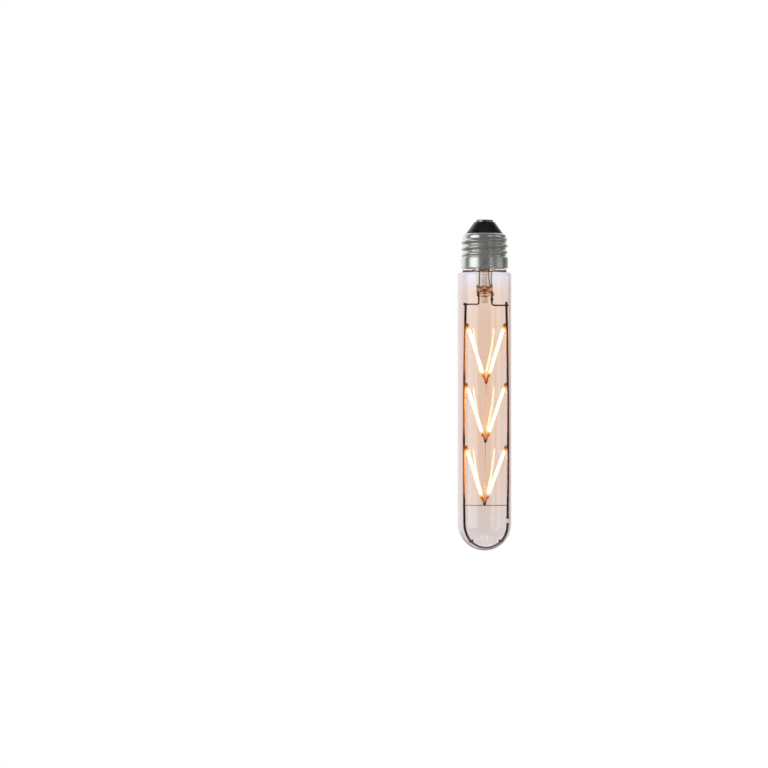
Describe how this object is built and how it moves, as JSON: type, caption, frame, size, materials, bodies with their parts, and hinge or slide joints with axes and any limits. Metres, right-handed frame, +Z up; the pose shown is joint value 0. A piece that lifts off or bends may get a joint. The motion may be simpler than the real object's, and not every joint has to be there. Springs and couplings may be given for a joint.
{
  "type": "tubular led filament bulb",
  "caption": "Slim straight glass tube bulb with a round end and a screw cap; lit LED filaments hang in Vs from a dark wire frame inside gold-tinted clear glass.",
  "frame": {"origin": "middle of the centre contact's face, at the top of the cap", "axes": "+Z up along the bulb's axis, out of the cap; +X across the filament frame from its left rod to its right rod; -Y is the front that the picture shows"},
  "size_m": [0.03, 0.03, 0.185],
  "materials": {
    "tinted_glass": "clear, gold-tinted, thin",
    "clear_glass": "clear, fire polished",
    "phosphor": "phosphor in resin, lit",
    "tab_metal": "plain plated strip",
    "dark_wire": "dark oxidised drawn wire",
    "enamelled_wire": "brown enamel on fine copper wire",
    "copper_wire": "bare copper-clad lead",
    "nickel_plate": "nickel plate on rolled brass",
    "black_vitrite": "black glass, glossy",
    "contact_metal": "plain pressed contact",
    "cement": "matt basing cement",
    "board_laminate": "glass-fibre board with solder mask",
    "black_epoxy": "moulded epoxy",
    "capacitor_sleeve": "shrink sleeve",
    "resistor_coat": "lacquered ceramic"
  },
  "bodies": {
    "root": {"glass_envelope": "tinted_glass", "glass_stem": "clear_glass", "exhaust_tube": "clear_glass", "glass_bead": "clear_glass", "filament_1_left": "phosphor", "filament_1_right": "phosphor", "filament_2_left": "phosphor", "filament_2_right": "phosphor", "filament_3_left": "phosphor", "filament_3_right": "phosphor", "filament_1_left_tabs": "tab_metal", "filament_1_right_tabs": "tab_metal", "filament_2_left_tabs": "tab_metal", "filament_2_right_tabs": "tab_metal", "filament_3_left_tabs": "tab_metal", "filament_3_right_tabs": "tab_metal", "left_arm": "dark_wire", "right_arm": "dark_wire", "left_rod": "dark_wire", "right_rod": "dark_wire", "right_rod_tail": "dark_wire", "bottom_bow": "dark_wire", "centre_wire": "enamelled_wire", "tie_wire": "enamelled_wire", "left_lead": "copper_wire", "right_lead": "copper_wire", "live_wire": "copper_wire", "neutral_wire": "copper_wire", "screw_shell": "nickel_plate", "cap_insulator": "black_vitrite", "centre_contact": "contact_metal", "basing_cement": "cement", "driver_board": "board_laminate", "bridge_rectifier": "black_epoxy", "driver_chip": "black_epoxy", "smoothing_capacitor": "capacitor_sleeve", "fuse_resistor": "resistor_coat"}
  },
  "joints": []
}
